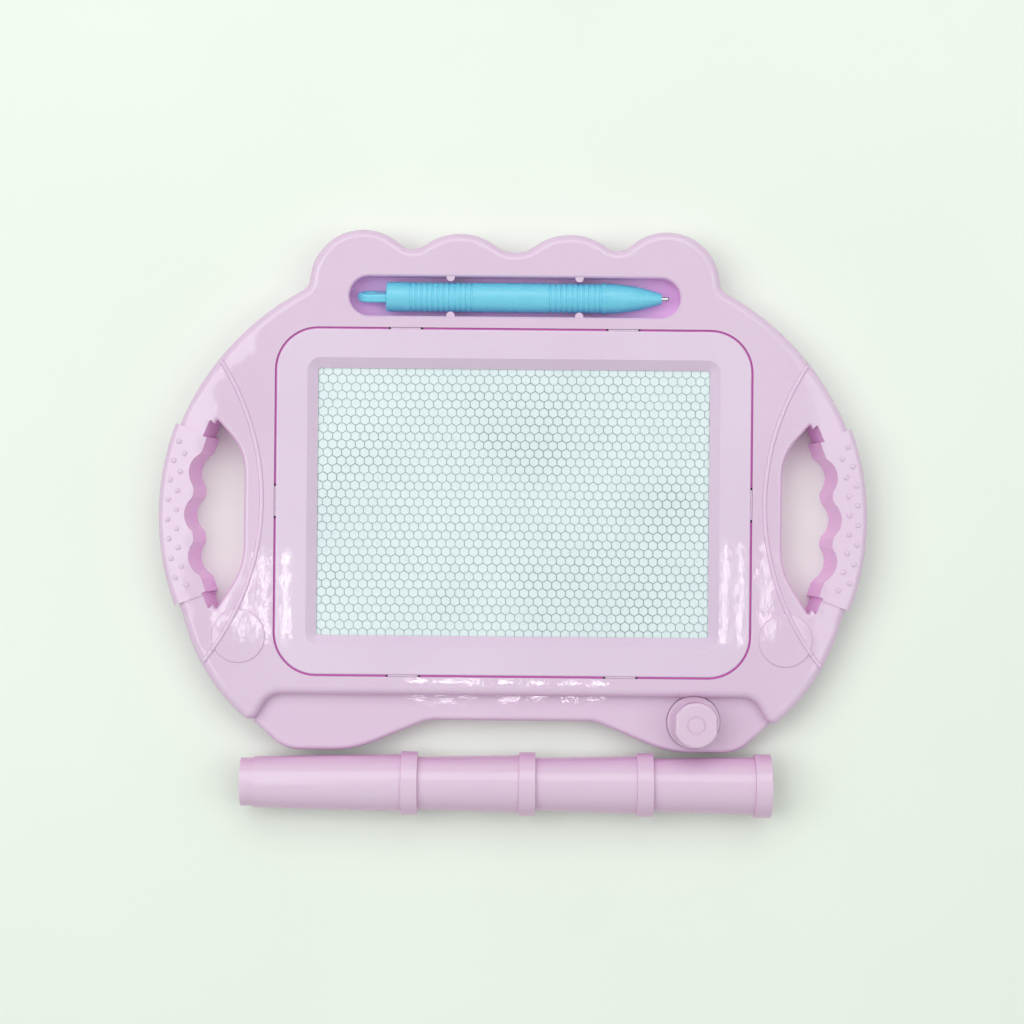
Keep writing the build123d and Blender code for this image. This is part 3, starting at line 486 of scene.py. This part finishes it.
def honeycomb_tree():
    """Rows of six-sided cells with thin walls, gently stretched as the glued strips of a real core are."""
    tree, given, result = new_tree("honeycomb_core_cells", {
        "Columns": ("NodeSocketInt", 44),
        "Rows": ("NodeSocketInt", 35),
        "Cell Pitch": ("NodeSocketFloat", cell_pitch),
        "Row Pitch": ("NodeSocketFloat", cell_row_pitch),
        "Wall Thickness": ("NodeSocketFloat", cell_wall_width),
        "Cell Depth": ("NodeSocketFloat", 1.6 * mm),
        "Top Height": ("NodeSocketFloat", 18.1 * mm),
        "Middle Y": ("NodeSocketFloat", 9.125 * mm),
        "Stretch": ("NodeSocketFloat", cell_sway),
        "Wall Finish": ("NodeSocketMaterial", None),
    })

    # The middles of the cells, with every second row shifted by half a cell
    columns_less_one = maths(tree, "SUBTRACT", given["Columns"], 1)
    rows_less_one = maths(tree, "SUBTRACT", given["Rows"], 1)
    grid = shape_node(tree, "GeometryNodeMeshGrid", {
        "Vertices X": given["Columns"],
        "Vertices Y": given["Rows"],
        "Size X": maths(tree, "MULTIPLY", columns_less_one, given["Cell Pitch"]),
        "Size Y": maths(tree, "MULTIPLY", rows_less_one, given["Row Pitch"]),
    })
    index = tree.nodes.new("GeometryNodeInputIndex").outputs[0]
    odd_row = maths(tree, "MODULO", maths(tree, "MODULO", index, given["Rows"]), 2)
    half_pitch = maths(tree, "MULTIPLY", given["Cell Pitch"], 0.5)
    shift = maths(tree, "MULTIPLY", maths(tree, "SUBTRACT", odd_row, 0.5), half_pitch)
    offset = vector_of(tree, shift, given["Middle Y"], given["Top Height"])
    middles = shape_node(tree, "GeometryNodeSetPosition", {"Geometry": grid, "Offset": offset})

    # One cell: a six-sided ring as wide as half a wall, and its inner side drawn down
    corner_radius = maths(tree, "DIVIDE", given["Cell Pitch"], 3 ** 0.5)
    outline = shape_node(tree, "GeometryNodeMeshCircle", {"Vertices": 6, "Radius": corner_radius},
                         fill_type="NONE")
    regular_row = maths(tree, "MULTIPLY", given["Cell Pitch"], 3 ** 0.5 / 2)
    row_stretch = maths(tree, "DIVIDE", given["Row Pitch"], regular_row)
    shape = shape_node(tree, "GeometryNodeTransform", {
        "Geometry": outline,
        "Rotation": (0, 0, radians(30)),
        "Scale": vector_of(tree, 1.0, row_stretch, 1.0),
    })
    wall_part = maths(tree, "DIVIDE", given["Wall Thickness"], given["Cell Pitch"])
    corner_place = tree.nodes.new("GeometryNodeInputPosition").outputs[0]
    inward = vector_maths(tree, "SCALE", {0: corner_place, "Scale": maths(tree, "MULTIPLY", wall_part, -1)})
    down = vector_of(tree, 0, 0, maths(tree, "MULTIPLY", given["Cell Depth"], -1))
    inner_edges = True
    for step in (inward, down):
        inputs = {"Mesh": shape, "Selection": inner_edges, "Offset": step, "Offset Scale": 1.0}
        drawn = add_node(tree, "GeometryNodeExtrudeMesh", inputs, mode="EDGES")
        shape, inner_edges = drawn.outputs["Mesh"], drawn.outputs["Top"]

    # All cells, joined where they meet and swayed a little
    placed = shape_node(tree, "GeometryNodeInstanceOnPoints", {"Points": middles, "Instance": shape})
    real = shape_node(tree, "GeometryNodeRealizeInstances", {"Geometry": placed})
    welded = shape_node(tree, "GeometryNodeMergeByDistance", {"Geometry": real, "Distance": 0.02 * mm})
    place = tree.nodes.new("GeometryNodeInputPosition").outputs[0]
    noise = add_node(tree, "ShaderNodeTexNoise", {"Vector": place, "Scale": 11, "Detail": 1})
    centred = vector_maths(tree, "SUBTRACT", {0: noise.outputs["Color"], 1: (0.5, 0.5, 0.5)})
    level = vector_maths(tree, "MULTIPLY", {0: centred, 1: (2, 2, 0)})
    sway = vector_maths(tree, "SCALE", {0: level, "Scale": given["Stretch"]})
    swayed = shape_node(tree, "GeometryNodeSetPosition", {"Geometry": welded, "Offset": sway})
    turned = shape_node(tree, "GeometryNodeFlipFaces", {"Mesh": swayed})
    realized_and_painted(tree, turned, given["Wall Finish"], result)
    return tree


def slab(form, low, high):
    """Add a box to a form between two corners."""
    for corner in bmesh.ops.create_cube(form, size=1)["verts"]:
        corner.co = [low[axis] + (corner.co[axis] + 0.5) * (high[axis] - low[axis]) for axis in range(3)]


def honeycomb_core():
    """The cell walls, the liquid between them and the strip that seals them all round."""
    low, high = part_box("honeycomb_core")
    seal_width = 1.6 * mm
    liquid_drop, floor_gap = 0.25 * mm, 0.2 * mm
    row_shift, corner_reach = 0.5, 1 / 3
    walls = grown_mesh(honeycomb_tree(), "honeycomb_core_walls", {
        "Columns": floor((high.x - low.x - 2 * seal_width) / cell_pitch - row_shift),
        "Rows": floor((high.y - low.y - 2 * seal_width) / cell_row_pitch - corner_reach),
        "Cell Pitch": cell_pitch,
        "Row Pitch": cell_row_pitch,
        "Wall Thickness": cell_wall_width,
        "Cell Depth": high.z - low.z - floor_gap,
        "Top Height": high.z,
        "Middle Y": (low.y + high.y) / 2,
        "Stretch": cell_sway,
        "Wall Finish": finishes["cell_core"],
    })
    walls.materials.clear()
    walls.materials.append(finishes["cell_core"])
    walls.materials.append(filling)
    form = bmesh.new()
    form.from_mesh(walls)
    for face in form.faces:
        face.material_index = 0
    wall_faces = len(form.faces)
    left, right = low.x + seal_width, high.x - seal_width
    front, back = low.y + seal_width, high.y - seal_width
    slab(form, (left, front, low.z), (right, back, high.z - liquid_drop))
    form.faces.ensure_lookup_table()
    for face in form.faces[wall_faces:]:
        face.material_index = 1
    slab(form, (low.x, low.y, low.z), (high.x, front, high.z))
    slab(form, (low.x, back, low.z), (high.x, high.y, high.z))
    slab(form, (low.x, low.y, low.z), (left, high.y, high.z))
    slab(form, (right, low.y, low.z), (high.x, high.y, high.z))
    form.to_mesh(walls)
    form.free()
    as_piece("honeycomb_core_walls", walls, "board", "honeycomb_core")


# Seam round the bezel

def rounded_loop(half_x, half_y, radius, steps):
    """The points of a rectangle with round corners, anticlockwise from the middle of its right side."""
    points = []
    for corner, (side_x, side_y) in enumerate(((1, 1), (-1, 1), (-1, -1), (1, -1))):
        for step in range(steps + 1):
            angle = radians(90 * (corner + step / steps))
            points.append((side_x * (half_x - radius) + radius * cos(angle),
                           side_y * (half_y - radius) + radius * sin(angle)))
    return points


def divided(points, length):
    """The same loop with its long runs divided."""
    finer = []
    for first, second in zip(points, points[1:] + points[:1]):
        parts = max(1, round(dist(first, second) / length))
        finer += [tuple(a + (b - a) * part / parts for a, b in zip(first, second)) for part in range(parts)]
    return finer


def seam_lip():
    """The thin lip of the bezel, which closes the seam just below the face and stops at each snap tab, in
    painted shade and glow.
    """
    corner_steps, longest_run = 24, 0.5 * mm
    middle_y = 9.4 * mm
    half_x, half_y, radius = 107.65 * mm, 78.65 * mm, 19.45 * mm
    lip_width, top, bottom = 0.8 * mm, 20.9 * mm, 20.3 * mm
    tab_x, tab_half = 48.98 * mm, 8.05 * mm
    tabs = [(-half_x, 0), (half_x, 0)]
    tabs += [(x, y) for x in (-tab_x, tab_x) for y in (-half_y, half_y)]
    straight_x, straight_y = half_x - radius, half_y - radius
    form = bmesh.new()
    rings = []
    for x, y in divided(rounded_loop(half_x, half_y, radius, corner_steps), longest_run):
        centre_x = max(-straight_x, min(straight_x, x))
        centre_y = max(-straight_y, min(straight_y, y))
        reach = dist((x, y), (centre_x, centre_y))
        share = (reach - lip_width) / reach
        inner = (centre_x + (x - centre_x) * share, centre_y + (y - centre_y) * share)
        corners = (((x, y), top), (inner, top), (inner, bottom), ((x, y), bottom))
        ring = [form.verts.new((px, py + middle_y, z)) for (px, py), z in corners]
        near_tab = any(dist((x, y), tab) < tab_half for tab in tabs)
        rings.append((ring, near_tab))
    for (first, first_cut), (second, second_cut) in zip(rings, rings[1:] + rings[:1]):
        if first_cut and second_cut:
            continue
        for side in range(4):
            after = (side + 1) % 4
            form.faces.new((first[side], first[after], second[after], second[side]))
        if first_cut:
            form.faces.new(first)
        if second_cut:
            form.faces.new(second)
    unused = [corner for corner in form.verts if not corner.link_faces]
    bmesh.ops.delete(form, geom=unused, context="VERTS")
    bmesh.ops.recalc_face_normals(form, faces=form.faces)
    lip = as_piece("bezel_seam_lip", mesh_of(form, "bezel_seam_lip", seam_painted_shade), "board")


# Beads over the discs, and the pips of the grips

def disc_beads():
    """The raised bead beside each handle, carried on over the disc that it crosses."""
    centre_x, centre_y, arc_radius = 228.2 * mm, 9.4 * mm, 115 * mm
    tube_radius, crown, sunk = 1.15 * mm, 23.35 * mm, 1.3 * mm
    middle_angle, half_sweep, ramp = 210.1, 6.3, 1.0
    steps, around = 48, 12
    form = bmesh.new()
    for side in (-1, 1):
        rings = []
        for step in range(steps + 1):
            sweep = half_sweep * (2 * step / steps - 1)
            angle = radians(middle_angle + sweep)
            drop = sunk * max(0, (abs(sweep) - half_sweep + ramp) / ramp) ** 2
            ring = []
            for turn in range(around):
                tilt = 2 * pi * turn / around
                reach = arc_radius + tube_radius * cos(tilt)
                x = side * (centre_x + reach * cos(angle))
                y = centre_y + reach * sin(angle)
                ring.append(form.verts.new((x, y, crown - tube_radius - drop + tube_radius * sin(tilt))))
            rings.append(ring)
        for first, second in zip(rings, rings[1:]):
            for turn in range(around):
                after = (turn + 1) % around
                form.faces.new((first[turn], first[after], second[after], second[turn]))
        form.faces.new(rings[0])
        form.faces.new(rings[-1])
    for face in form.faces:
        face.smooth = len(face.verts) == 4
    bmesh.ops.recalc_face_normals(form, faces=form.faces)
    beads = as_piece("disc_beads", mesh_of(form, "disc_beads", finishes["lilac_shell"]), "board")


def pip_tree():
    """Domed pips in two staggered columns that follow each grip."""
    tree, given, result = new_tree("grip_pip_caps", {
        "Rows": ("NodeSocketInt", 16),
        "Centre X": ("NodeSocketFloat", 42.3 * mm),
        "Centre Y": ("NodeSocketFloat", 3.0 * mm),
        "Column Radius": ("NodeSocketFloat", 111.08 * mm),
        "Column Spread": ("NodeSocketFloat", 1.953 * mm),
        "Pitch Angle": ("NodeSocketFloat", radians(2.249)),
        "Base Height": ("NodeSocketFloat", 22.8 * mm),
        "Cap Radius": ("NodeSocketFloat", 1.22 * mm),
        "Cap Rise": ("NodeSocketFloat", 0.68 * mm),
        "Finish": ("NodeSocketMaterial", None),
    })

    # The places of the pips on the right grip, and mirrored on the left
    row = tree.nodes.new("GeometryNodeInputIndex").outputs[0]
    middle_row = maths(tree, "MULTIPLY", maths(tree, "SUBTRACT", given["Rows"], 1), 0.5)
    angle = maths(tree, "MULTIPLY", maths(tree, "SUBTRACT", row, middle_row), given["Pitch Angle"])
    column_side = maths(tree, "SUBTRACT", maths(tree, "MULTIPLY", maths(tree, "MODULO", row, 2), 2), 1)
    off_column = maths(tree, "MULTIPLY", column_side, given["Column Spread"])
    reach = maths(tree, "ADD", given["Column Radius"], off_column)
    reach_x = maths(tree, "MULTIPLY", reach, maths(tree, "COSINE", angle))
    reach_y = maths(tree, "MULTIPLY", reach, maths(tree, "SINE", angle))
    right_x = maths(tree, "ADD", given["Centre X"], reach_x)
    along_y = maths(tree, "ADD", given["Centre Y"], reach_y)
    line = shape_node(tree, "GeometryNodeMeshLine", {"Count": given["Rows"]})
    both_sides = tree.nodes.new("GeometryNodeJoinGeometry")
    for side_x in (right_x, maths(tree, "MULTIPLY", right_x, -1)):
        seat = vector_of(tree, side_x, along_y, given["Base Height"])
        seated = shape_node(tree, "GeometryNodeSetPosition", {"Geometry": line, "Position": seat})
        feed(tree, both_sides.inputs["Geometry"], seated)

    # One domed cap, and a copy of it at each place
    ball = shape_node(tree, "GeometryNodeMeshUVSphere", {"Segments": 16, "Rings": 8, "Radius": 1.0})
    size = vector_of(tree, given["Cap Radius"], given["Cap Radius"], given["Cap Rise"])
    dome = shape_node(tree, "GeometryNodeTransform", {"Geometry": ball, "Scale": size})
    smooth = shape_node(tree, "GeometryNodeSetShadeSmooth", {"Geometry": dome})
    places = both_sides.outputs["Geometry"]
    placed = shape_node(tree, "GeometryNodeInstanceOnPoints", {"Points": places, "Instance": smooth})
    realized_and_painted(tree, placed, given["Finish"], result)
    return tree


def grip_pips():
    """The domed pips on both grips, in the shell's own plastic."""
    mesh = grown_mesh(pip_tree(), "grip_pip_caps", {"Finish": finishes["lilac_shell"]})
    pips = as_piece("grip_pip_caps", mesh, "board")


honeycomb_core()
seam_lip()
disc_beads()
grip_pips()

smooth_nodes = {
    "front_frame": "front_frame_shell",
    "bezel": "bezel_ring",
    "back_cover": "back_cover_plate",
    "pen_barrel": "pen_barrel_tube",
    "pen_nose": "pen_nose_cone",
    "pen_tip": "pen_tip_pin",
    "stamp_foot": "stamp_foot_flange",
    "stamp_grip": "stamp_grip_knob",
    "leg_1": "leg_1_tube",
    "leg_2": "leg_2_tube",
    "leg_3": "leg_3_tube",
    "leg_4": "leg_4_tube",
    "eraser_knob": "eraser_knob_pad",
}
for node, name in smooth_nodes.items():
    smooth_piece(node, name)
for node in frame["nodes"]:
    if node not in smooth_nodes and node != "honeycomb_core":
        finish_node(node)


# Floor and background

def background_rays(tree):
    """1 for the rays that show the background: from the camera, in a reflection or through clear plastic."""
    path = tree.nodes.new("ShaderNodeLightPath").outputs
    shown = maths(tree, "MAXIMUM", path["Is Camera Ray"], path["Is Glossy Ray"])
    return maths(tree, "MAXIMUM", shown, path["Is Transmission Ray"])


def make_floor():
    """A plain pale floor, a little greenish as the photograph's is, which fades into the background."""
    reach = 4.0
    fade_start, fade_end = 0.7, 2.2
    form = bmesh.new()
    corners = ((-reach, -reach), (reach, -reach), (reach, reach), (-reach, reach))
    form.faces.new([form.verts.new((x, y, 0)) for x, y in corners])
    material, tree, shader = new_material("pale_floor")
    tone = spread(tree, object_noise(tree, scale=6, detail=3), 0, 1)
    feed(tree, shader["Base Color"], blend_colours(tree, tone, floor_mint, floor_mint_deep))
    shader["Roughness"].default_value = 0.8
    shader["Specular IOR Level"].default_value = 0.1
    distance = vector_maths(tree, "LENGTH", {0: surface_place(tree)}, "Value")
    fade = maths(tree, "MULTIPLY", spread(tree, distance, 0, 1, fade_start, fade_end), background_rays(tree))
    pale = add_node(tree, "ShaderNodeEmission", {"Color": backdrop_mint}).outputs[0]
    lit = tree.nodes["Principled BSDF"].outputs[0]
    mixed = add_node(tree, "ShaderNodeMixShader", {0: fade, 1: lit, 2: pale}).outputs[0]
    feed(tree, tree.nodes["Material Output"].inputs["Surface"], mixed)
    floor_sheet = in_scene("floor", mesh_of(form, "floor", material))


def make_world():
    """Soft even light from all round, before a pale background."""
    world = bpy.data.worlds.new("soft_room")
    world.use_nodes = True
    tree = world.node_tree
    room = tree.nodes["Background"]
    room.inputs["Color"].default_value = room_light
    room.inputs["Strength"].default_value = 0.42
    pale = add_node(tree, "ShaderNodeBackground", {"Color": backdrop_mint}).outputs[0]
    mixed = add_node(tree, "ShaderNodeMixShader", {0: background_rays(tree), 1: room.outputs[0], 2: pale})
    feed(tree, tree.nodes["World Output"].inputs["Surface"], mixed.outputs[0])
    bpy.context.scene.world = world


# Lamps: the small ones show as streaks on the glossy face, and the large ones light the set

glint_height = 1.5
glint_rows = {
    "front_glint": {"across": (-0.098, -0.07, -0.047, -0.004, 0.028, 0.064, 0.09), "along": -0.1815,
                    "aim": -0.1, "width": 0.016, "depth": 0.012, "power": 0.008},
    "left_glint": {"across": (-0.309, -0.275, -0.258, -0.236), "along": -0.085,
                   "aim": -0.03, "width": 0.006, "depth": 0.09, "power": 0.018},
    "right_glint": {"across": (0.222, 0.24, 0.264), "along": -0.078,
                    "aim": -0.03, "width": 0.005, "depth": 0.1, "power": 0.016},
}
ceiling_lamps = {
    "left_ceiling": {"place": (-1.05, 0.15, 1.8), "width": 1.1, "depth": 1.5, "power": 14.2},
    "right_ceiling": {"place": (1.05, 0.05, 1.8), "width": 1.1, "depth": 1.5, "power": 8},
    "back_ceiling": {"place": (-0.1, 1.15, 1.7), "width": 1.9, "depth": 1.2, "power": 13.4},
}


def soft_lamp(name, place, aim, width, depth, power):
    """A rectangular soft lamp at a place, aimed at a point."""
    lamp = bpy.data.lights.new(name, "AREA")
    lamp.shape = "RECTANGLE"
    lamp.size = width
    lamp.size_y = depth
    lamp.energy = power
    holder = in_scene(name, lamp)
    holder.location = place
    holder.rotation_mode = "QUATERNION"
    holder.rotation_quaternion = (Vector(aim) - Vector(place)).to_track_quat("-Z", "Y")


def make_lamps():
    """Hang the rows of small lamps, and the large ones aimed at the middle of the set."""
    for name, row in glint_rows.items():
        for number, across in enumerate(row["across"], 1):
            soft_lamp(f"{name}_{number}", (across, row["along"], glint_height), (across, row["aim"], 0),
                      row["width"], row["depth"], row["power"])
    for name, lamp in ceiling_lamps.items():
        soft_lamp(name, aim=(0, 0, 0), **lamp)


# Camera

def make_camera():
    """The photograph's camera: straight above the set, 1.147 m up."""
    sensor_width = 36
    picture_width, focal_length = 1024, 2500
    camera = bpy.data.cameras.new("photo_camera")
    camera.sensor_width = sensor_width
    camera.lens = sensor_width * focal_length / picture_width
    holder = in_scene("photo_camera", camera)
    holder.location = (-0.45 * mm, 5.35 * mm, 1147 * mm)
    holder.rotation_euler = (0, 0, radians(0.52))
    bpy.context.scene.camera = holder


make_floor()
make_lamps()
make_world()
make_camera()
bpy.context.scene.view_settings.view_transform = "Standard"

bpy.context.view_layer.update()
